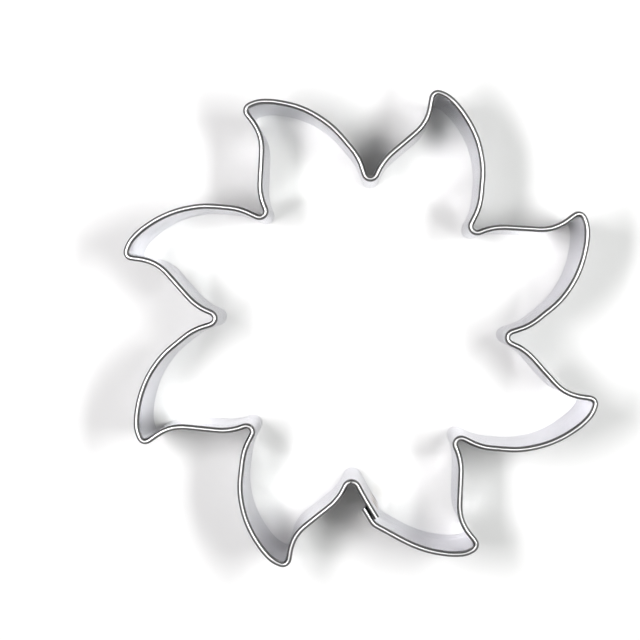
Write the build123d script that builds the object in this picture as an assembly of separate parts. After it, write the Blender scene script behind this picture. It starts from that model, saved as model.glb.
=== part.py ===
from build123d import *
import math
import os

# Sun-shaped cookie cutter: one strip of thin sheet stood on edge and bent into eight swirling rays.
# The lower edge cuts, the upper edge is folded outwards into a round rim, and the two ends of the
# strip lap over each other on one ray, where a column of spot welds holds them together.
# Millimetres, +Z up, the cutting edge on Z = 0, the origin under the middle of the whole outline.

# Sheet and wall
sheet_thickness = 0.3
wall_height = 25.0

# Folded rim: a round top, and a flap that leans back to the wall
rim_width = 1.2
hem_length = 2.0
hem_gap = 0.1

# Star outline, which the middle of the rim follows; bearings and angles are in degrees
ray_count = 8
tip_reach = 52.5
notch_reach = 31.7
tip_width = 1.25
notch_width = 1.95
first_tip_bearing = 117.7
notch_lag_angle = 31.4
tip_flat_angle = 40.9
notch_flat_angle = 118.9
bend_share = 0.48

# Corners of a ray's short edge and long edge, as shares of the straight line from end to end: how
# far along it, and how far to its right. The long edge with the seam has its own.
short_edge_shares = ((0.131, 0.006), (0.257, 0.004), (0.652, 0.093), (0.755, 0.090), (0.851, 0.059))
long_edge_shares = (
    (0.042, -0.085), (0.126, -0.135), (0.269, -0.185), (0.418, -0.206), (0.600, -0.191), (0.853, -0.095))
seam_edge_shares = (
    (0.042, -0.085), (0.126, -0.135), (0.269, -0.185), (0.418, -0.206), (0.638, -0.200), (0.883, -0.050))

# How hand bending left each tip and notch: its reach as a share of the even star's, and its swing
# from the even star in degrees anticlockwise
tip_reach_shares = (1.008, 1.000, 1.000, 0.990, 0.998, 1.006, 0.998, 1.000)
tip_swings = (0.0, 0.0, 0.1, 0.2, 0.3, -0.4, -0.3, -0.1)
notch_reach_shares = (1.009, 0.997, 0.984, 0.984, 1.032, 0.997, 0.987, 1.003)
notch_swings = (0.2, 0.2, 0.4, -0.4, 0.1, 0.6, -0.4, -0.7)

# Lapped seam, past one corner of one ray's long edge. The outer lap lies against the inner one up to
# the press height, and stands clear of its hem from the spread height.
seam_ray_index = 4
seam_corner_index = 4
seam_bend_radius = 3.0
seam_lead = 2.0
lap_length = 3.2
lap_gap = 0.05
press_height = 16.0
spread_height = 21.0

# Spot welds through both laps
weld_names = ("spot_weld_lower", "spot_weld_middle", "spot_weld_upper")
weld_diameter = 2.0
weld_dimple = 0.04
weld_dimple_diameter = 1.3
first_weld_height = 3.5
weld_pitch = 5.0

# Sizes that follow
rim_radius = rim_width / 2
hem_inner_radius = rim_radius - sheet_thickness
wall_inside = -rim_radius
wall_outside = sheet_thickness - rim_radius
rim_centre_height = wall_height - rim_radius
pressed_offset = sheet_thickness + lap_gap
spread_offset = rim_width + lap_gap
weld_thickness = sheet_thickness + pressed_offset


def polar(reach, bearing):
    return Vector(reach * math.cos(math.radians(bearing)), reach * math.sin(math.radians(bearing)))


def outward(along):
    """The side of a clockwise path that faces away from the middle of the cutter."""
    return Vector(-along.Y, along.X)


def ray_bearing(ray):
    return first_tip_bearing - 360 / ray_count * ray


def tip_point(ray):
    reach = tip_reach * tip_reach_shares[ray % len(tip_reach_shares)]
    return polar(reach, ray_bearing(ray) + tip_swings[ray % len(tip_swings)])


def notch_point(ray):
    """The notch on the clockwise side of a ray."""
    reach = notch_reach * notch_reach_shares[ray % len(notch_reach_shares)]
    return polar(reach, ray_bearing(ray) - notch_lag_angle + notch_swings[ray % len(notch_swings)])


def edge_corners(start, end, shares):
    line = end - start
    return [start + line * along + outward(line) * -aside for along, aside in shares]


def blunt_end(middle, width, heading):
    step = polar(width / 2, heading)
    return [middle - step, middle + step]


def ray_corners(ray):
    """The corners of one ray, clockwise, from after one notch to the end of the next."""
    tip = tip_point(ray)
    long_shares = seam_edge_shares if ray == seam_ray_index else long_edge_shares
    corners = edge_corners(notch_point((ray - 1) % ray_count), tip, short_edge_shares)
    corners += blunt_end(tip, tip_width, ray_bearing(ray) - tip_flat_angle)
    corners += edge_corners(tip, notch_point(ray), long_shares)
    corners += blunt_end(notch_point(ray), notch_width, ray_bearing(ray) - notch_flat_angle)
    return corners


def corner_turn(before, corner, after):
    return math.radians((corner - before).get_angle(after - corner))


def bent_path(points, radii):
    return FilletPolyline(*points, radius=radii)


def easy_radii(points):
    """The radius at each inner point whose bend takes the set share of the shorter run beside it."""
    radii = []
    for before, corner, after in zip(points, points[1:], points[2:]):
        shorter_run = min((corner - before).length, (after - corner).length)
        radii.append(bend_share * shorter_run / math.tan(corner_turn(before, corner, after) / 2))
    return radii


# Where the seam lies: its corner, the runs into and out of it, and how far along the second run the
# inner lap ends, just where the outer lap has moved out past the rim
seam_corners = ray_corners(seam_ray_index)
long_edge_start = len(short_edge_shares) + 2
seam_point = seam_corners[long_edge_start + seam_corner_index]
run_in = (seam_point - seam_corners[long_edge_start + seam_corner_index - 1]).normalized()
run_out = (seam_corners[long_edge_start + seam_corner_index + 1] - seam_point).normalized()
seam_turn = math.radians(run_in.get_angle(run_out))
lap_start = spread_offset / math.tan(seam_turn) + seam_bend_radius * math.tan(seam_turn / 2)
inner_end = seam_point + run_out * lap_start
outer_end = inner_end + run_out * lap_length
split_point = seam_point - run_in * seam_lead


def strip_points():
    """The strip's path from its inner end, clockwise all the way round, to just before the seam."""
    points = [inner_end]
    points += seam_corners[long_edge_start + seam_corner_index + 1:]
    for step in range(1, ray_count):
        points += ray_corners((seam_ray_index + step) % ray_count)
    points += seam_corners[:long_edge_start + seam_corner_index]
    points.append(split_point)
    return points


def lap_points(offset):
    """The outer lap's path where it stands this far out from the inner lap."""
    corner = seam_point + run_in * (offset / math.sin(seam_turn))
    return [split_point, corner, outer_end + outward(run_out) * offset]


def hem_lean():
    """The lean of the flap that leaves the hem gap between its lip and the wall."""
    reach = math.hypot(hem_length, hem_inner_radius)
    return math.atan2(hem_inner_radius, hem_length) + math.asin((hem_inner_radius - hem_gap) / reach)


def rim_section(foot):
    """The sheet's section from the foot height up: wall, round top and flap; x points outwards."""
    lean = hem_lean()
    outer_turn = Vector(rim_radius * math.cos(lean), rim_centre_height - rim_radius * math.sin(lean))
    inner_turn = Vector(hem_inner_radius * math.cos(lean),
                        rim_centre_height - hem_inner_radius * math.sin(lean))
    flap = Vector(-hem_length * math.sin(lean), -hem_length * math.cos(lean))
    with BuildSketch() as section:
        with BuildLine():
            ThreePointArc((wall_inside, rim_centre_height), (0, wall_height), outer_turn)
            Polyline(outer_turn, outer_turn + flap, inner_turn + flap, inner_turn)
            ThreePointArc(inner_turn, (0, wall_height - sheet_thickness), (wall_outside, rim_centre_height))
            Polyline((wall_outside, rim_centre_height), (wall_outside, foot), (wall_inside, foot),
                     (wall_inside, rim_centre_height))
        make_face()
    return section.sketch


def wall_section(head):
    """The plain wall's section from the cutting edge up to the head height."""
    wall = Rectangle(sheet_thickness, head, align=(Align.MIN, Align.MIN))
    return wall.moved(Location((wall_inside, 0, 0)))


def swept(section, path):
    start = Plane(origin=path @ 0, x_dir=outward(path % 0), z_dir=path % 0)
    return sweep(start * section, path=path)


def wall_slice(offset, height):
    """The outer lap's wall cut through at one height."""
    points = lap_points(offset)
    sides = []
    for aside in (wall_inside, wall_outside):
        inner_run = outward(run_in) * aside
        outer_run = outward(run_out) * aside
        corner = points[1] + inner_run + run_in * (aside * math.tan(seam_turn / 2))
        run = [points[0] + inner_run, corner, points[2] + outer_run]
        sides.append(bent_path(run, [seam_bend_radius + aside]))
    inside, outside = sides
    outline = [inside, Line(inside @ 1, outside @ 1), outside, Line(outside @ 0, inside @ 0)]
    edges = [edge for piece in outline for edge in piece.edges()]
    return Pos(0, 0, height) * make_face(edges)


def formed_strip():
    points = strip_points()
    strip = swept(rim_section(0), bent_path(points, easy_radii(points)))
    lower_path = bent_path(lap_points(pressed_offset), [seam_bend_radius])
    upper_path = bent_path(lap_points(spread_offset), [seam_bend_radius])
    strip += swept(wall_section(press_height), lower_path)
    pressed_slice = wall_slice(pressed_offset, press_height)
    strip += loft([pressed_slice, wall_slice(spread_offset, spread_height)], ruled=True)
    strip += swept(rim_section(spread_height), upper_path)
    return strip


def weld_plane(number):
    """On the inner face of the inner lap, with Z pointing outwards through both laps."""
    middle = inner_end + run_out * (lap_length / 2) + outward(run_out) * wall_inside
    height = first_weld_height + weld_pitch * number
    return Plane(origin=(middle.X, middle.Y, height), x_dir=run_out, z_dir=outward(run_out))


def weld_nugget(number):
    """A disc through both laps, with the electrode's shallow flat dimple on both faces."""
    radius = weld_diameter / 2
    dimple_radius = weld_dimple_diameter / 2
    with BuildSketch(Plane.XZ) as half:
        with BuildLine():
            Polyline((0, weld_dimple), (dimple_radius, weld_dimple), (radius, 0),
                     (radius, weld_thickness), (dimple_radius, weld_thickness - weld_dimple),
                     (0, weld_thickness - weld_dimple), close=True)
        make_face()
    return weld_plane(number) * revolve(half.sketch, axis=Axis.Z)


def weld_hole(number):
    hole = Cylinder(weld_diameter / 2, weld_thickness, align=(Align.CENTER, Align.CENTER, Align.MIN))
    return weld_plane(number) * hole


os.makedirs("parts", exist_ok=True)
strip = formed_strip()
for number in range(len(weld_names)):
    strip -= weld_hole(number)
middle = strip.bounding_box().center()
centring = Pos(-middle.X, -middle.Y, 0)
export_step(centring * strip, "parts/formed_strip.step")
for number, name in enumerate(weld_names):
    export_step(centring * weld_nugget(number), f"parts/{name}.step")
print("outline moved by", round(-middle.X, 4), round(-middle.Y, 4))
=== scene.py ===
import math

import bpy
from mathutils import Matrix, Vector, noise


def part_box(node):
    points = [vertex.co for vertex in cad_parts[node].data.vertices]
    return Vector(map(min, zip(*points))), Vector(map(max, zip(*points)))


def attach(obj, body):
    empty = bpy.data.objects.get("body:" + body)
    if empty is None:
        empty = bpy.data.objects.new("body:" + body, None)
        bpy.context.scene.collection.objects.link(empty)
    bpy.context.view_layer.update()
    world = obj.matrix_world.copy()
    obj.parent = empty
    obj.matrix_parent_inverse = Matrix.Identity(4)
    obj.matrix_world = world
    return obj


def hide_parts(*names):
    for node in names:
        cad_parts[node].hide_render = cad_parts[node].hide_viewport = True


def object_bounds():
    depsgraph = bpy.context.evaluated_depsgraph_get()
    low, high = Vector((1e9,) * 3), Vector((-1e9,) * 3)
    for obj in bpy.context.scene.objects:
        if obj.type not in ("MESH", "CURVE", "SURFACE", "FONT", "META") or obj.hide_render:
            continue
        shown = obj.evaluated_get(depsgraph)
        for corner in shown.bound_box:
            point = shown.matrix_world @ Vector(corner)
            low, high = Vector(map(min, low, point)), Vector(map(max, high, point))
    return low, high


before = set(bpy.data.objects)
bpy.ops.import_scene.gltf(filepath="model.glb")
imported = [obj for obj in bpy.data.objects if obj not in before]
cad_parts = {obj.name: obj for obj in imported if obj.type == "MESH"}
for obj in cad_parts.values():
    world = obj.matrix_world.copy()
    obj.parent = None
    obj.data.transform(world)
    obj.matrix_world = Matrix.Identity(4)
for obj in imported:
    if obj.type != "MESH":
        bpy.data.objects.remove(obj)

# Sun-shaped cookie cutter in bright thin sheet: folded rim, lapped and spot-welded seam.
# Metres, +Z up, the cutting edge on the floor.

mm = 0.001
sharpFrom = math.radians(50)  # a bend above this between two faces is an edge, not a round
cadLow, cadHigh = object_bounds()
print("frame loaded:", ", ".join(sorted(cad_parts)))


class Wire:
    # wraps one output socket of a node tree; an expression on values adds its Math nodes

    def __init__(self, tree, socket=None):
        self.tree = tree
        self.socket = socket

    def node(self, kind, settings=None, values=None, out=0):
        made = self.tree.nodes.new("ShaderNode" + kind)
        for name, value in (settings or {}).items():
            setattr(made, name, value)
        for key, value in (values or {}).items():
            if isinstance(value, Wire):
                self.tree.links.new(value.socket, made.inputs[key])
            else:
                made.inputs[key].default_value = value
        return Wire(self.tree, made.outputs[out]) if made.outputs else made

    def maths(self, operation, first, second):
        return self.node("Math", {"operation": operation}, {0: first, 1: second})

    def __add__(self, other):
        return self.maths("ADD", self, other)

    def __radd__(self, other):
        return self.maths("ADD", other, self)

    def __sub__(self, other):
        return self.maths("SUBTRACT", self, other)

    def __rsub__(self, other):
        return self.maths("SUBTRACT", other, self)

    def __mul__(self, other):
        return self.maths("MULTIPLY", self, other)

    def __rmul__(self, other):
        return self.maths("MULTIPLY", other, self)

    def step(self, low, high):  # 0 below low, 1 above high, smooth between; low may be the larger
        limits = {"Value": self, "From Min": low, "From Max": high}
        return self.node("MapRange", {"interpolation_type": "SMOOTHSTEP"}, limits)

    def stretched(self, x, y, z):  # a vector scaled by a different number along each axis
        return self.node("VectorMath", {"operation": "MULTIPLY"}, {0: self, 1: (x, y, z)})

    def blotches(self, scale, detail, roughness):  # noise from 0 to 1 at this place vector
        return self.node("TexNoise", {}, {"Vector": self, "Scale": scale, "Detail": detail,
                                          "Roughness": roughness})

    def tint(self, first, second):  # this value mixes two colours
        colours = {"Factor": self, 6: opaque(first), 7: opaque(second)}
        return self.node("Mix", {"data_type": "RGBA"}, colours, 2)


def opaque(colour):  # a plain colour gets the fourth number that its socket asks for
    return colour if isinstance(colour, Wire) else (*colour, 1.0)


def newMaterial(name):
    material = bpy.data.materials.new(name)
    material.use_nodes = True
    material.node_tree.nodes.clear()
    return material, Wire(material.node_tree)


def finishMaterial(wire, shader):
    wire.node("OutputMaterial", {}, {"Surface": shader})


# Camera: straight above the table, a little to one side, its picture as wide as it is high
shot = {
    "place": (0.40 * mm, 8.84 * mm, 384.6 * mm),
    "aimAt": (-9.16 * mm, 1.56 * mm, 0.0),
    "lens": 95.06,
    "sensor": 36.0,
}


def makeCamera():
    data = bpy.data.cameras.new("shotCamera")
    camera = bpy.data.objects.new("shotCamera", data)
    bpy.context.scene.collection.objects.link(camera)
    forward = (Vector(shot["aimAt"]) - Vector(shot["place"])).normalized()
    side = forward.cross(Vector((0, 1, 0))).normalized()
    turned = Matrix((side, side.cross(forward), -forward)).transposed()
    camera.matrix_world = Matrix.Translation(shot["place"]) @ turned.to_4x4()
    data.lens = shot["lens"]
    data.sensor_width = shot["sensor"]
    data.clip_start = 1 * mm
    bpy.context.scene.camera = camera


makeCamera()
print("camera placed")

# The star, along the middle of the rim. Shares are of the straight line from one end of a ray's
# edge to the other: how far along it, and how far out from it. Bearings and angles in degrees.
star = {
    "rays": 8,
    "tipReach": 52.5 * mm,
    "notchReach": 31.7 * mm,
    "tipWidth": 1.25 * mm,
    "notchWidth": 1.95 * mm,
    "firstTipBearing": 117.7,
    "notchLag": 31.4,
    "tipFlatLag": 40.9,
    "notchFlatLag": 118.9,
    "bendShare": 0.48,
    "arcStep": 1.5,
    "fewestArcSteps": 4,
    "shortEdge": ((0.131, 0.006), (0.257, 0.004), (0.652, 0.093), (0.755, 0.090), (0.851, 0.059)),
    "longEdge": ((0.042, -0.085), (0.126, -0.135), (0.269, -0.185), (0.418, -0.206),
                 (0.600, -0.191), (0.853, -0.095)),
    "seamEdge": ((0.042, -0.085), (0.126, -0.135), (0.269, -0.185), (0.418, -0.206),
                 (0.638, -0.200), (0.883, -0.050)),
    "tipReachShares": (1.008, 1.000, 1.000, 0.990, 0.998, 1.006, 0.998, 1.000),
    "tipSwings": (0.0, 0.0, 0.1, 0.2, 0.3, -0.4, -0.3, -0.1),
    "notchReachShares": (1.009, 0.997, 0.984, 0.984, 1.032, 0.997, 0.987, 1.003),
    "notchSwings": (0.2, 0.2, 0.4, -0.4, 0.1, 0.6, -0.4, -0.7),
    "seamRay": 4,
    "seamCorner": 4,
}

# The sheet and its folded rim
sheet = {
    "thickness": 0.3 * mm,
    "height": cadHigh[2],
    "rimWidth": 1.2 * mm,
    "rimRise": 0.80 * mm,  # from where the rim is widest up to its crest, which is tighter than a round
    "hemLength": 1.80 * mm,
    "hemGap": 0.1 * mm,
    "edgeRounding": 0.06 * mm,
    "rimSteps": 20,
    "flapRowShares": (0.08, 0.35, 0.65, 0.9, 1.0),  # of the flap's length, down from the round
    "lipAngles": (45, 90, 135),  # degrees round the flap's free edge
    "wallRows": (0.35, 1.2, 3.0, 5.5, 8.0, 10.5, 13.0, 15.4, 16.6, 17.8, 19.0, 20.2, 21.4, 22.6,
                 23.6),  # millimetres up
    "evenStep": 0.1 * mm,  # along the strip, before the straighter stretches are thinned out
    "easing": 4,  # even steps over which a bend eases in
    "finestStep": 0.12 * mm,
    "coarsestStep": 0.85 * mm,
    "turnStep": 6.0,  # degrees between two sections in a bend
}

lap = {
    "bendRadius": 3.0 * mm,
    "lead": 2.0 * mm,
    "length": 3.2 * mm,
    "gap": 0.05 * mm,
    "pressHeight": 16.0 * mm,
    "spreadHeight": 21.0 * mm,
    "steps": 44,
}

rimRadius = sheet["rimWidth"] / 2
rimMiddle = sheet["height"] - sheet["rimRise"]
midRadius = rimRadius - sheet["thickness"] / 2
midRise = sheet["rimRise"] - sheet["thickness"] / 2
pressedOffset = sheet["thickness"] + lap["gap"]
spreadOffset = sheet["rimWidth"] + lap["gap"]


def polar(reach, bearing):
    return Vector((reach * math.cos(math.radians(bearing)), reach * math.sin(math.radians(bearing))))


def outward(along):  # the outer side of a path that runs clockwise
    return Vector((-along.y, along.x))


def rayBearing(ray):
    return star["firstTipBearing"] - 360 / star["rays"] * ray


def tipPoint(ray):
    place = ray % star["rays"]
    reach = star["tipReach"] * star["tipReachShares"][place]
    return polar(reach, rayBearing(ray) + star["tipSwings"][place])


def notchPoint(ray):  # on the clockwise side of the ray
    place = ray % star["rays"]
    reach = star["notchReach"] * star["notchReachShares"][place]
    return polar(reach, rayBearing(ray) - star["notchLag"] + star["notchSwings"][place])


def edgeCorners(start, end, shares):
    line = end - start
    return [start + line * along - outward(line) * aside for along, aside in shares]


def bluntEnd(middle, width, heading):
    step = polar(width / 2, heading)
    return [middle - step, middle + step]


def rayCorners(ray):
    longEdge = star["seamEdge"] if ray == star["seamRay"] else star["longEdge"]
    corners = edgeCorners(notchPoint(ray - 1), tipPoint(ray), star["shortEdge"])
    corners += bluntEnd(tipPoint(ray), star["tipWidth"], rayBearing(ray) - star["tipFlatLag"])
    corners += edgeCorners(tipPoint(ray), notchPoint(ray), longEdge)
    corners += bluntEnd(notchPoint(ray), star["notchWidth"], rayBearing(ray) - star["notchFlatLag"])
    return corners


def bentPath(corners, radius=None):
    # runs joined by arcs, as points; without a radius each arc takes a share of its shorter run
    points = [corners[0]]
    for before, corner, after in zip(corners, corners[1:], corners[2:]):
        runIn = (corner - before).normalized()
        runOut = (after - corner).normalized()
        turn = runIn.angle_signed(runOut)
        half = math.tan(abs(turn) / 2)
        shorter = min((corner - before).length, (after - corner).length)
        reach = radius * half if radius else star["bendShare"] * shorter
        start = corner - runIn * reach
        middle = start + Vector((runIn.y, -runIn.x)) * (math.copysign(reach / half, turn))
        steps = max(star["fewestArcSteps"], math.ceil(abs(turn) / math.radians(star["arcStep"])))
        for step in range(steps + 1):
            swing = Matrix.Rotation(-turn * step / steps, 2)
            points.append(middle + swing @ (start - middle))
    return points + [corners[-1]]


def evenPoints(points, count):
    # the same line again as count points at even distances
    lengths = [0.0]
    for one, other in zip(points, points[1:]):
        lengths.append(lengths[-1] + (other - one).length)
    found, at = [], 0
    for number in range(count):
        wanted = lengths[-1] * number / (count - 1)
        while at < len(points) - 2 and lengths[at + 1] < wanted:
            at += 1
        gap = lengths[at + 1] - lengths[at]
        share = (wanted - lengths[at]) / gap if gap else 0.0
        found.append(points[at].lerp(points[at + 1], share))
    return found


def eased(points, spread):
    # hand bending has no sudden changes of bend: each point becomes a weighted mean of its neighbours
    reach = 3 * spread  # further off, a neighbour weighs next to nothing
    weights = [math.exp(-(step / spread) ** 2 / 2) for step in range(-reach, reach + 1)]
    total = sum(weights)
    count = len(points)
    result = []
    for number in range(count):
        near = min(number, count - 1 - number)
        if near < reach:
            result.append(points[number])
            continue
        mean = Vector((0, 0))
        for step, weight in zip(range(-reach, reach + 1), weights):
            mean += points[number + step] * weight
        result.append(mean / total)
    return result


def seamGeometry():
    corners = rayCorners(star["seamRay"])
    first = len(star["shortEdge"]) + 2 + star["seamCorner"]  # the tip's own two points lie between
    corner = corners[first]
    runIn = (corner - corners[first - 1]).normalized()
    runOut = (corners[first + 1] - corner).normalized()
    turn = abs(runIn.angle_signed(runOut))
    start = spreadOffset / math.tan(turn) + lap["bendRadius"] * math.tan(turn / 2)
    innerEnd = corner + runOut * start
    return {
        "before": corners[:first], "after": corners[first + 1:], "corner": corner, "runIn": runIn,
        "runOut": runOut, "turn": turn, "innerEnd": innerEnd,
        "outerEnd": innerEnd + runOut * lap["length"], "split": corner - runIn * lap["lead"],
    }


seam = seamGeometry()


def lapPath(offset):
    corner = seam["corner"] + seam["runIn"] * (offset / math.sin(seam["turn"]))
    end = seam["outerEnd"] + outward(seam["runOut"]) * offset
    return bentPath([seam["split"], corner, end], lap["bendRadius"])


def mainPath():  # from the strip's inner end all the way round to just before the outer lap
    corners = [seam["innerEnd"]] + seam["after"]
    for step in range(1, star["rays"]):
        corners += rayCorners((star["seamRay"] + step) % star["rays"])
    return bentPath(corners + seam["before"] + [seam["split"]])


def pathStations():
    # places along the strip, closer in the bends, each with its point at the foot, its point at the
    # head and its distance along the strip; foot and head part only in the outer lap
    main = mainPath()
    footLap = evenPoints(lapPath(pressedOffset), lap["steps"])
    headLap = evenPoints(lapPath(spreadOffset), lap["steps"])
    length = sum((b - a).length for a, b in zip(main, main[1:]))
    dense = eased(evenPoints(main, round(length / sheet["evenStep"])), sheet["easing"])
    spacing = length / (len(dense) - 1)
    kept, last = [0], 0
    turned = 0.0
    for number in range(1, len(dense) - 1):
        before = dense[number] - dense[number - 1]
        after = dense[number + 1] - dense[number]
        turned += abs(math.degrees(before.angle_signed(after)))
        gone = (number - last) * spacing
        if gone >= sheet["coarsestStep"] or (turned > sheet["turnStep"] and gone >= sheet["finestStep"]):
            kept.append(number)
            last, turned = number, 0.0
    foot = [dense[number] for number in kept] + footLap
    head = [dense[number] for number in kept] + headLap
    along = [number * spacing for number in kept]
    walked = length
    for one, other in zip([dense[-1]] + headLap, headLap):
        walked += (other - one).length
        along.append(walked)
    return foot, head, along


def sideAt(points, number):
    low, high = max(number - 1, 0), min(number + 1, len(points) - 1)
    return outward((points[high] - points[low]).normalized())


def sheetMiddle():
    # the sheet's middle line in section, from the cutting edge up and over to the lip of the hem:
    # (distance out from the path, height, direction of the face that starts on the inside)
    half = sheet["thickness"] / 2
    inner = rimRadius - sheet["thickness"]
    reach = math.hypot(sheet["hemLength"], inner)
    lean = math.atan2(inner, sheet["hemLength"]) + math.asin((inner - sheet["hemGap"]) / reach)
    rows = [sheet["edgeRounding"]] + [row * mm for row in sheet["wallRows"]]
    line = [(-midRadius, height, (-1.0, 0.0)) for height in rows]
    for step in range(sheet["rimSteps"] + 1):
        angle = math.pi - (math.pi + lean) * step / sheet["rimSteps"]
        way = (math.cos(angle), math.sin(angle))
        rise = midRise if way[1] > 0 else midRadius
        size = math.hypot(way[0] * midRadius, way[1] * rise)
        line.append((way[0] * midRadius ** 2 / size, rimMiddle + way[1] * rise ** 2 / size, way))
    x, z, way = line[-1]
    down = (-math.sin(lean), -math.cos(lean))
    for share in sheet["flapRowShares"]:
        length = (sheet["hemLength"] - half) * share
        line.append((x + down[0] * length, z + down[1] * length, way))
    return line, down


def sheetRing():
    # the closed section: inner face and rim, round the lip, back along the other face, round the
    # cutting edge. Gives its points, (out from the path, height), how far each is along the sheet's
    # surface, and how many of them one face has
    line, down = sheetMiddle()
    half = sheet["thickness"] / 2
    ring = [(x + way[0] * half, z + way[1] * half) for x, z, way in line]
    x, z, way = line[-1]
    for angle in sheet["lipAngles"]:
        over = math.cos(math.radians(angle)) * half
        past = math.sin(math.radians(angle)) * half
        ring.append((x + way[0] * over + down[0] * past, z + way[1] * over + down[1] * past))
    ring += [(x - way[0] * half, z - way[1] * half) for x, z, way in reversed(line)]
    rounding = sheet["edgeRounding"]
    cornerShift = rounding * (1 - math.sqrt(0.5))
    inside, outside = -rimRadius, sheet["thickness"] - rimRadius
    ring += [(outside - cornerShift, cornerShift), (outside - rounding, 0.0),
             (inside + rounding, 0.0), (inside + cornerShift, cornerShift)]
    surface = [0.0]
    for one, other in zip(ring, ring[1:] + ring[:1]):
        surface.append(surface[-1] + math.hypot(other[0] - one[0], other[1] - one[1]))
    return ring, surface, len(line)


# What making and use left on the sheet
wear = {
    "wander": 0.05 * mm,  # of the whole wall, out and in, over several millimetres
    "wanderLength": 11 * mm,
    "edgeSway": 0.12 * mm,  # of the cutting edge, which nothing stiffens
    "edgeSwayLength": 17 * mm,
    "ripple": 0.010 * mm,  # of the face
    "rippleLength": 3.2 * mm,
    "hemRipple": 0.022 * mm,  # of the fold, where the flap was pressed down in short strokes
    "hemRippleLength": 2.1 * mm,
    "creaseDepth": 0.26 * mm,
    "creaseWidth": 0.22 * mm,
    "creaseRay": 4,  # the crease is across the rim in the notch after this ray
    "stillNear": 14 * mm,  # the wander dies away this near the seam, where two laps lie together
    "swayFade": 1.5,  # how fast the edge's sway dies away up the wall
    "sagShare": 1 / 3,  # of the fold's ripple, which also lowers the crest
    "swell": 1.6,  # brings the noise to about -1 to 1
    "seed": 3.7,
}


def drift(along, height, length, number):  # smooth, from about -1 to 1; each number has its own
    place = Vector((along / length, height / length, wear["seed"] * number))
    return wear["swell"] * noise.noise(place)


def joggle(height):  # 0 where the outer lap is pressed in, 1 where it stands clear
    share = (height - lap["pressHeight"]) / (lap["spreadHeight"] - lap["pressHeight"])
    share = min(max(share, 0.0), 1.0)
    return share * share * (3 - 2 * share)


stripLow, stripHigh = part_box("formed_strip")


def centred(foot, head):
    # moves the lines from the star's own centre to the frame's, under the middle of the whole outline
    xs, ys = [point.x for point in head], [point.y for point in head]
    middle = Vector((min(xs) + max(xs), min(ys) + max(ys))) / 2
    shift = (stripLow + stripHigh).to_2d() / 2 - middle
    return [point + shift for point in foot], [point + shift for point in head], shift


def roomAt(point):  # how much further out the rim may stand here within the frame's box
    gaps = (stripHigh.x - point.x, point.x - stripLow.x, stripHigh.y - point.y, point.y - stripLow.y)
    return max(0.0, min(gaps) - rimRadius)


def stripPoints(foot, head, along, shift, ring):
    creasePoint = notchPoint(wear["creaseRay"]) + shift
    crease = min(range(len(head)), key=lambda number: (head[number] - creasePoint).length)
    seamFrom = along[len(along) - lap["steps"]]
    points = []
    for number in range(len(head)):
        low, high, at = foot[number], head[number], along[number]
        lowSide, highSide = sideAt(foot, number), sideAt(head, number)
        free = min(1.0, at / wear["stillNear"], max(0.0, (seamFrom - at) / wear["stillNear"]))
        lean = wear["wander"] * drift(at, 0, wear["wanderLength"], 1) * free
        sway = wear["edgeSway"] * drift(at, 0, wear["edgeSwayLength"], 2) * free
        dent = wear["creaseDepth"] * math.exp(-((at - along[crease]) / wear["creaseWidth"]) ** 2)
        room = roomAt(high)
        for out, height in ring:
            share = joggle(height)
            rim = max(0.0, (height - rimMiddle) / sheet["rimRise"])  # 0 where the rim is widest, 1 on top
            hem = max(0.0, (out + rimRadius - sheet["thickness"]) / sheet["rimWidth"])
            moved = lean + sway * (1 - min(height / sheet["height"], 1.0)) ** wear["swayFade"]
            moved += wear["ripple"] * drift(at, height, wear["rippleLength"], 3) * free
            moved += wear["hemRipple"] * drift(at, height, wear["hemRippleLength"], 4) * hem
            moved -= dent * hem
            sag = max(0.0, 1 + drift(at, height, wear["hemRippleLength"], 5))
            drop = wear["hemRipple"] * sag * wear["sagShare"] + dent
            spot = low.lerp(high, share) + lowSide.lerp(highSide, share) * (out + min(moved, room))
            points.append((spot.x, spot.y, height - drop * rim))
    return points


def stripFaces(count, wide, faceRows):
    # the faces along the strip first, then the two cut ends; gives also how many lie along it
    faces = []
    for number in range(count - 1):
        here, there = number * wide, (number + 1) * wide
        for place in range(wide):
            after = (place + 1) % wide
            faces.append((here + place, there + place, there + after, here + after))
    sideFaces = len(faces)
    # each cut end, from one face of the sheet to the other, with the lip and the cutting edge
    back = 2 * faceRows + len(sheet["lipAngles"]) - 1  # the other face's lowest point
    ends = [(place, place + 1, back - place - 1, back - place) for place in range(faceRows - 1)]
    ends.append(tuple(range(faceRows - 1, faceRows + len(sheet["lipAngles"]) + 1)))
    ends.append(tuple(range(back, wide)) + (0,))
    for start, turned in ((0, False), ((count - 1) * wide, True)):
        for end in ends:
            face = tuple(start + place for place in end)
            faces.append(face[::-1] if turned else face)
    return faces, sideFaces


def stripMesh():
    foot, head, along = pathStations()
    foot, head, shift = centred(foot, head)
    ring, surface, faceRows = sheetRing()
    faces, sideFaces = stripFaces(len(head), len(ring), faceRows)
    mesh = bpy.data.meshes.new("formedStrip")
    mesh.from_pydata(stripPoints(foot, head, along, shift, ring), [], faces)
    addSheetMaps(mesh, along, surface, len(ring), sideFaces)
    return mesh, shift


# The flat layout of the sheet, which lies in rows with a gap between them
layout = {
    "rows": 3,
    "rowGap": 1 * mm,
    "margin": 0.5 * mm,
    "overhang": 1.02,  # of a row's length, because no face is cut where a row ends
    "fill": 0.98,
}


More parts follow.
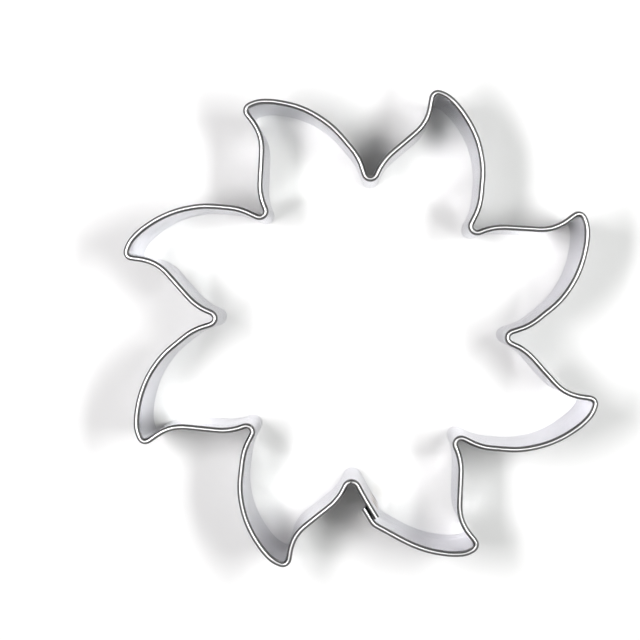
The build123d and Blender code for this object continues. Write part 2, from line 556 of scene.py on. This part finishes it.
def addSheetMaps(mesh, along, surface, wide, sideFaces):
    # one map gives places on the sheet in metres; the other lays the sheet out in rows
    place = mesh.uv_layers.new(name="sheetPlace")
    flat = mesh.uv_layers.new(name="OFBake")
    rows = layout["rows"]
    rowLength = along[-1] / rows
    rowHeight = surface[-1] + layout["rowGap"]
    side = max(rowLength * layout["overhang"], rowHeight * rows)
    placeValues, flatValues = [], []
    for polygon in mesh.polygons:
        number, spot = divmod(polygon.index, wide)
        for loop in polygon.loop_indices:
            vertex = mesh.loops[loop].vertex_index
            station, at = divmod(vertex, wide)
            if polygon.index < sideFaces:
                up = surface[wide] if spot == wide - 1 and at == 0 else surface[at]
                row = min(int((along[number] + along[number + 1]) / 2 / rowLength), rows - 1)
            else:
                up, row = surface[at], (0 if station == 0 else rows - 1)
            placeValues += [along[station], up]
            inRow = along[station] - row * rowLength + layout["margin"]
            flatValues += [inRow / side * layout["fill"], (row * rowHeight + up) / side]
    place.uv.foreach_set("vector", placeValues)
    flat.uv.foreach_set("vector", flatValues)


# Spot welds: a column of small discs through both laps, each with the electrodes' flat dimples
weld = {
    "names": ("spot_weld_lower", "spot_weld_middle", "spot_weld_upper"),
    "diameter": 2.0 * mm,
    "firstHeight": 3.5 * mm,
    "pitch": 5.0 * mm,
    "clear": 0.004 * mm,  # round the disc, so that its side and the hole's don't meet
    "steps": 56,
    # from the middle out: share of the radius, and millimetres below the sheet's face
    "dish": ((0.0, 0.040), (0.25, 0.040), (0.45, 0.039), (0.58, 0.036), (0.66, 0.028), (0.76, 0.010),
             (0.84, -0.004), (0.90, -0.007), (0.96, -0.002), (1.0, 0.006)),
    "unevenness": 0.06,  # of the dimple's radius, which no two electrodes leave alike
    "unevenWaves": 1.7,
    "unevenTo": 0.8,  # share of the radius: outside it the disc stays round
    "seed": 5.3,
}
weldDepth = sheet["thickness"] + pressedOffset


def weldFrame(number, shift):
    # at the inner face of the inner lap, its Z pointing out through both laps
    way = outward(seam["runOut"])
    spot = seam["innerEnd"] + seam["runOut"] * (lap["length"] / 2) - way * rimRadius + shift
    height = weld["firstHeight"] + weld["pitch"] * number
    along, out = seam["runOut"].to_3d(), way.to_3d()
    turned = Matrix((along, out.cross(along), out)).transposed()
    return Matrix.Translation((spot.x, spot.y, height)) @ turned.to_4x4()


def nuggetMesh(number, place):
    radius = weld["diameter"] / 2 - weld["clear"]
    dish = [(share * radius, depth * mm) for share, depth in weld["dish"]]
    profile = dish[1:] + [(reach, weldDepth - depth) for reach, depth in reversed(dish[1:])]
    points, faces = [Vector((0, 0, dish[0][1])), Vector((0, 0, weldDepth - dish[0][1]))], []
    for step in range(weld["steps"]):
        angle = 2 * math.pi * step / weld["steps"]
        way = Vector((math.cos(angle), math.sin(angle), 0))
        uneven = 1 + weld["unevenness"] * noise.noise(
            way * weld["unevenWaves"] + Vector((0, 0, number * weld["seed"])))
        for reach, depth in profile:
            inner = reach * (uneven if reach < weld["unevenTo"] * radius else 1.0)
            points.append(way * inner + Vector((0, 0, depth)))
    rows = len(profile)
    for step in range(weld["steps"]):
        here, there = 2 + step * rows, 2 + (step + 1) % weld["steps"] * rows
        faces.append((0, there, here))
        faces.append((1, here + rows - 1, there + rows - 1))
        for row in range(rows - 1):
            faces.append((here + row, there + row, there + row + 1, here + row + 1))
    mesh = bpy.data.meshes.new(weld["names"][number])
    mesh.from_pydata([place @ point for point in points], [], faces)
    layer = mesh.uv_layers.new(name="weldPlace")  # share of the radius, and depth
    values = []
    for loop in mesh.loops:
        point = points[loop.vertex_index]
        values += [point.to_2d().length / radius, point.z / weldDepth]
    layer.uv.foreach_set("vector", values)
    mesh.shade_smooth()
    mesh.set_sharp_from_angle(angle=sharpFrom)
    return mesh


def addPiece(mesh, name, node, material):
    piece = bpy.data.objects.new(name, mesh)
    bpy.context.scene.collection.objects.link(piece)
    mesh.materials.clear()  # drilling leaves an empty slot
    mesh.materials.append(material)
    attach(piece, "root")
    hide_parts(node)
    return piece


def withWeldHoles(mesh, places):
    # drills the holes that the welds fill, and gives the drilled mesh
    strip = bpy.data.objects.new("undrilled", mesh)
    drillData = bpy.data.meshes.new("drill")
    drill = bpy.data.objects.new("drill", drillData)
    radius, over = weld["diameter"] / 2, sheet["thickness"]
    points, faces, steps = [], [], weld["steps"]
    for place in places:
        first = len(points)
        for height in (-over, weldDepth + over):
            for step in range(steps):
                angle = 2 * math.pi * (step + 0.5) / steps
                rimSpot = Vector((radius * math.cos(angle), radius * math.sin(angle), height))
                points.append(place @ rimSpot)
        for step in range(steps):
            after = (step + 1) % steps
            faces.append((first + step, first + after, first + steps + after, first + steps + step))
        faces.append(tuple(range(first + steps - 1, first - 1, -1)))
        faces.append(tuple(range(first + steps, first + 2 * steps)))
    drillData.from_pydata(points, [], faces)
    for made in (strip, drill):
        bpy.context.scene.collection.objects.link(made)
    cut = strip.modifiers.new("weldHoles", "BOOLEAN")
    cut.object, cut.operation, cut.solver = drill, "DIFFERENCE", "MANIFOLD"
    view = bpy.context.evaluated_depsgraph_get()
    drilled = bpy.data.meshes.new_from_object(strip.evaluated_get(view))
    for made in (strip, drill):
        bpy.data.objects.remove(made)
    drilled.shade_smooth()
    drilled.set_sharp_from_angle(angle=sharpFrom)
    return drilled


# Bright rolled stainless sheet. A pair of limits is where a step begins and where it is whole; a noise
# has its scale, its detail and its roughness.
steel = {
    "colour": (0.840, 0.840, 0.850),
    "stain": (0.800, 0.796, 0.790),
    "stainLimits": (0.35, 0.75),
    "bandShade": 0.93,  # of the colour, in the rolled bands and in broad soft clouds
    "bandShares": {"bands": 0.25, "breath": 0.50},
    "dull": (0.420, 0.420, 0.420),  # in the fold and on the wall's outer face, where polish is poor
    "dullShares": {"fold": 0.8, "back": 0.9},
    "crown": (0.54, 0.54, 0.54),  # the rim's top, darker than the wall: painted shade that dims its highlight
    "paintedFlankShade": (0.175, 0.173, 0.170),  # painted shade: both sides of the crown, darkened to stand in for the dark room they would mirror
    "grazing": (0.76, 0.76, 0.79),  # how the sheet mirrors at a flat angle, against white
    "roughness": 0.15,
    "roughnessSpread": 0.08,
    "wornLimits": (0.72, 0.3),
    "wornShares": {"marks": 0.50, "lines": 0.35, "bands": 0.15},
    "rougher": {"scratch": 0.12, "fold": 0.20, "back": 0.20, "edge": 0.06, "crown": 0.16},
    "lineStretch": (90, 9000, 0),  # along the strip, across it: rolling leaves fine lines
    "lines": (1.0, 3.0, 0.65),
    "bandStretch": (14, 700, 0),
    "bands": (1.0, 2.0, 0.5),
    "marks": (95.0, 4.0, 0.6),
    "breath": (28.0, 2.0, 0.5),
    "pits": (5200.0, 2.0, 0.5),
    "grainHeight": 0.006 * mm,
    "pitHeight": 0.004 * mm,
    "relief": 0.35,
}

# Thin straight scratches from handling, in patches
scratch = {
    "angles": (12, -50, 85),  # degrees to the strip
    "stretch": (110, 6500, 1),
    "noise": (1.0, 0.0, 0.5),
    "limits": (0.69, 0.78),
    "patches": (60.0, 1.0, 0.5),
    "patchLimits": (0.42, 0.60),
    "depth": 0.004 * mm,
}

# Where the finish and the painted shade change, along the sheet's surface; for the crown and its two
# sides, how far from the crest
zones = {
    "foldBlur": 0.4 * mm,
    "wallBlur": 1.5 * mm,
    "edgeTo": 1.4 * mm,
    "crownLimits": (0.7 * mm, 0.4 * mm),
    "paintedFlankShadeLimits": (0.16 * mm, 0.32 * mm),
    "outerFade": (0.9 * mm, 1.6 * mm),
    "outerFadeShare": 0.7,
    "innerFade": (2.0 * mm, 1.1 * mm),
    "lipBlur": 0.3 * mm,
}

# Heat tint round a weld, from outside to inside
heatTint = {
    "straw": (0.62, 0.50, 0.32),
    "strawLimits": (0.05, 0.55),
    "violet": (0.33, 0.27, 0.34),
    "violetLimits": (0.5, 0.95),
    "reach": 2.2 * mm,
    "wholeWithin": 0.9 * mm,
    "ragged": 0.9 * mm,
    "cloud": (750.0, 2.0, 0.5),
}


def makeSteel(weldSpots):
    material, wire = newMaterial("brightSheet")
    place = wire.node("UVMap", {"uv_map": "sheetPlace"})  # along the strip, and across it
    body = wire.node("TexCoord", out="Object")
    lines = place.stretched(*steel["lineStretch"]).blotches(*steel["lines"])
    bands = place.stretched(*steel["bandStretch"]).blotches(*steel["bands"])
    marks = body.blotches(*steel["marks"])
    breath = body.blotches(*steel["breath"])
    pits = body.blotches(*steel["pits"])
    scratches = scratchLines(place, body)
    across = place.node("SeparateXYZ", {}, {0: place}, "Y")
    fold, back, crown, paintedFlankShade = sheetMasks(across)
    edge = across.step(zones["edgeTo"], 0.0)
    shade = tuple(steel["bandShade"] * part for part in steel["colour"])
    shaded, dull = steel["bandShares"], steel["dullShares"]
    colour = marks.step(*steel["stainLimits"]).tint(steel["stain"], steel["colour"])
    colour = (bands * shaded["bands"] + breath * shaded["breath"]).tint(colour, shade)
    colour = (fold * dull["fold"] + back * dull["back"]).tint(colour, steel["dull"])
    # painted shade: the crown's darker colour dims the highlight on the rim's top
    colour = crown.tint(colour, steel["crown"])
    # painted shade on both sides of the crown, standing in for the dark room they would mirror
    colour = paintedFlankShade.tint(colour, steel["paintedFlankShade"])
    heat = weldHeat(body, weldSpots)
    colour = heat.step(*heatTint["strawLimits"]).tint(colour, heatTint["straw"])
    colour = heat.step(*heatTint["violetLimits"]).tint(colour, heatTint["violet"])
    part, rougher = steel["wornShares"], steel["rougher"]
    worn = marks.step(*steel["wornLimits"]) * part["marks"] + lines * part["lines"] + bands * part["bands"]
    roughness = steel["roughness"] + worn * steel["roughnessSpread"] + scratches * rougher["scratch"]
    roughness = roughness + fold * rougher["fold"] + back * rougher["back"]
    roughness = roughness + edge * rougher["edge"] + crown * rougher["crown"]
    height = lines * steel["grainHeight"] + pits * steel["pitHeight"] - scratches * scratch["depth"]
    bump = wire.node("Bump", {}, {"Height": height, "Strength": steel["relief"], "Distance": 1.0})
    finishMaterial(wire, wire.node("BsdfPrincipled", {}, {
        "Base Color": colour, "Roughness": roughness, "Metallic": 1.0, "Normal": bump,
        "Specular Tint": opaque(steel["grazing"])}))
    return material


def scratchLines(place, body):  # 1 in a scratch
    scratches = None
    for angle in scratch["angles"]:
        turned = place.node("Mapping", {}, {
            "Vector": place, "Rotation": (0, 0, math.radians(angle)), "Scale": scratch["stretch"]})
        group = turned.blotches(*scratch["noise"]).step(*scratch["limits"])
        scratches = group if scratches is None else scratches + group
    return scratches * body.blotches(*scratch["patches"]).step(*scratch["patchLimits"])


def sheetMasks(across):
    # each 1 on its own stretch of the sheet's surface: inside the fold, on the wall's outer face, on
    # top of the rim, and on both sides of that crown, where a dark colour is painted shade for the dark
    # room those sides would mirror
    ring, surface, faceRows = sheetRing()
    lip = surface[faceRows + len(sheet["lipAngles"]) // 2]
    outerFoot = 2 * faceRows + len(sheet["lipAngles"]) - 1
    wallTop = surface[outerFoot - len(sheet["wallRows"])]
    crest = surface[max(range(len(ring)), key=lambda place: ring[place][1])]
    fold = across.step(lip, lip + zones["foldBlur"]) * across.step(wallTop + zones["wallBlur"], wallTop)
    back = across.step(wallTop, wallTop + zones["wallBlur"])
    off = across - crest
    far, near = zones["crownLimits"]
    crown = off.step(-far, -near) * off.step(far, near)
    near, far = zones["paintedFlankShadeLimits"]
    outer = off.step(near, far) * (1 - zones["outerFadeShare"] * off.step(*zones["outerFade"]))
    outer = outer * across.step(lip, lip - zones["lipBlur"])
    inner = off.step(-near, -far) * off.step(-zones["innerFade"][0], -zones["innerFade"][1])
    return fold, back, crown, outer + inner


def weldHeat(body, weldSpots):  # 1 at the edge of a weld, 0 further off
    nearest = None
    for spot in weldSpots:
        far = body.node("VectorMath", {"operation": "DISTANCE"}, {0: body, 1: tuple(spot)}, "Value")
        nearest = far if nearest is None else nearest.maths("MINIMUM", nearest, far)
    ragged = (body.blotches(*heatTint["cloud"]) - 0.5) * heatTint["ragged"]
    return (nearest + ragged).step(heatTint["reach"], heatTint["wholeWithin"])


# The welds' own face: a pale core, a brown ring round it and a straw rim
nugget = {
    "core": (0.50, 0.49, 0.47),
    "ring": (0.30, 0.25, 0.24),
    "ringLimits": (0.35, 0.72),
    "rim": (0.58, 0.50, 0.36),
    "rimLimits": (0.78, 0.98),
    "grit": (3800.0, 3.0, 0.7),
    "gritHeight": 0.012 * mm,
    "cloud": (900.0, 2.0, 0.5),
    "ragged": 0.3,  # share of the radius
    "roughness": 0.34,
    "roughnessSpread": 0.22,
    "rimPolish": 0.1,
    "rimPolishLimits": (0.7, 1.0),
    "relief": 0.7,
}


def makeNuggetSteel():
    material, wire = newMaterial("weldedSteel")
    place = wire.node("UVMap", {"uv_map": "weldPlace"})
    body = wire.node("TexCoord", out="Object")
    out = place.node("SeparateXYZ", {}, {0: place}, "X")
    grit = body.blotches(*nugget["grit"])
    ragged = (body.blotches(*nugget["cloud"]) - 0.5) * nugget["ragged"]
    spread = out + ragged
    colour = spread.step(*nugget["ringLimits"]).tint(nugget["core"], nugget["ring"])
    colour = spread.step(*nugget["rimLimits"]).tint(colour, nugget["rim"])
    polish = spread.step(*nugget["rimPolishLimits"]) * nugget["rimPolish"]
    roughness = nugget["roughness"] + grit * nugget["roughnessSpread"] - polish
    height = grit * nugget["gritHeight"]
    bump = wire.node("Bump", {}, {"Height": height, "Strength": nugget["relief"], "Distance": 1.0})
    finishMaterial(wire, wire.node("BsdfPrincipled", {}, {
        "Base Color": colour, "Roughness": roughness, "Metallic": 1.0, "Normal": bump}))
    return material


stripData, shift = stripMesh()
weldPlaces = [weldFrame(number, shift) for number in range(len(weld["names"]))]
weldMiddles = [place @ Vector((0, 0, weldDepth / 2)) for place in weldPlaces]
drilled = withWeldHoles(stripData, weldPlaces)
print("strip bent and drilled:", len(drilled.polygons), "faces")

addPiece(drilled, "formedStrip", "formed_strip", makeSteel(weldMiddles))
nuggetSteel = makeNuggetSteel()
for number, name in enumerate(weld["names"]):
    addPiece(nuggetMesh(number, weldPlaces[number]), name.replace("spot_weld_", "nugget."), name,
             nuggetSteel)
print("pieces placed and finished")

# White table, its light, and what the metal mirrors
table = {
    "reach": 4.0,
    "drop": 0.02 * mm,  # so that the cutting edge doesn't share the floor's plane
    "paper": (0.86, 0.86, 0.86),
    "shown": (1.0, 1.0, 1.0),  # the paper as the lens and the metal see it
    "lift": 0.87,  # far away, where the lamps don't reach; none round the cutter
    "liftFrom": 0.07,
    "liftTo": 0.36,
    "fibre": (900.0, 4.0, 0.7),
    "fibreHeight": 0.02 * mm,
    "relief": 0.25,
}


def makeTable():
    reach = table["reach"]
    mesh = bpy.data.meshes.new("tableTop")
    corners = [(-reach, -reach), (reach, -reach), (reach, reach), (-reach, reach)]
    mesh.from_pydata([(x, y, -table["drop"]) for x, y in corners], [], [(0, 1, 2, 3)])
    top = bpy.data.objects.new("tableTop", mesh)
    bpy.context.scene.collection.objects.link(top)
    material, wire = newMaterial("whitePaper")
    body = wire.node("TexCoord", out="Object")
    height = body.blotches(*table["fibre"]) * table["fibreHeight"]
    bump = wire.node("Bump", {}, {"Height": height, "Strength": table["relief"], "Distance": 1.0})
    seen = wire.node("LightPath", out="Is Camera Ray")
    mirrored = wire.node("LightPath", out="Is Glossy Ray")
    shown = seen.maths("MAXIMUM", seen, mirrored)
    colour = shown.tint(table["paper"], table["shown"])
    paper = wire.node("BsdfDiffuse", {}, {"Color": colour, "Normal": bump})
    far = body.node("VectorMath", {"operation": "LENGTH"}, {0: body}, "Value")
    glow = wire.node("Emission", {}, {
        "Strength": shown * table["lift"] * far.step(table["liftFrom"], table["liftTo"])})
    finishMaterial(wire, wire.node("AddShader", {}, {0: paper, 1: glow}))
    mesh.materials.append(material)


# Two soft boxes, each leaning its way from straight above and facing the middle of the cutter
lamps = {
    "leftBox": {"lean": -20.8, "north": 14 * mm, "far": 0.321, "wide": 0.05, "long": 0.12,
                "power": 0.592, "colour": (1.0, 0.985, 0.995)},
    "rightBox": {"lean": 23.3, "north": 14 * mm, "far": 0.327, "wide": 0.05, "long": 0.12,
                 "power": 0.540, "colour": (0.99, 1.0, 0.99)},
}


def makeLamps():
    for name, box in lamps.items():
        data = bpy.data.lights.new(name, "AREA")
        data.shape, data.size, data.size_y = "RECTANGLE", box["wide"], box["long"]
        data.energy, data.color = box["power"], box["colour"]
        lamp = bpy.data.objects.new(name, data)
        bpy.context.scene.collection.objects.link(lamp)
        lean = math.radians(box["lean"])
        place = Vector((math.sin(lean) * box["far"], box["north"], math.cos(lean) * box["far"]))
        lamp.matrix_world = Matrix.Translation(place) @ Matrix.Rotation(lean, 4, "Y")


room = {
    "ceiling": (0.60, 0.60, 0.59),
    "walls": (0.05, 0.05, 0.05),
    "skirting": (0.90, 0.90, 0.90),  # low down, behind the table
    # heights of a direction, 1 straight up; each colour blends into the next between its two limits
    "ceilingFrom": 0.95,
    "wallsTo": 0.85,
    "wallsFrom": 0.26,
    "skirtingTo": 0.14,
}


def makeRoom():
    world = bpy.data.worlds.new("room")
    bpy.context.scene.world = world
    world.use_nodes = True
    world.node_tree.nodes.clear()
    wire = Wire(world.node_tree)
    way = wire.node("TexCoord", out="Generated")
    up = way.node("SeparateXYZ", {}, {0: way}, "Z")
    colour = up.step(room["wallsFrom"], room["skirtingTo"]).tint(room["walls"], room["skirting"])
    colour = up.step(room["wallsTo"], room["ceilingFrom"]).tint(colour, room["ceiling"])
    light = wire.node("Background", {}, {"Color": colour, "Strength": 1.0})
    wire.node("OutputWorld", {}, {"Surface": light})


makeTable()
makeLamps()
makeRoom()
bpy.context.scene.view_settings.view_transform = "Standard"
bpy.context.scene.cycles.blur_glossy = 0.1  # the walls throw sharp light back on the table
print("table, lamps and room ready")
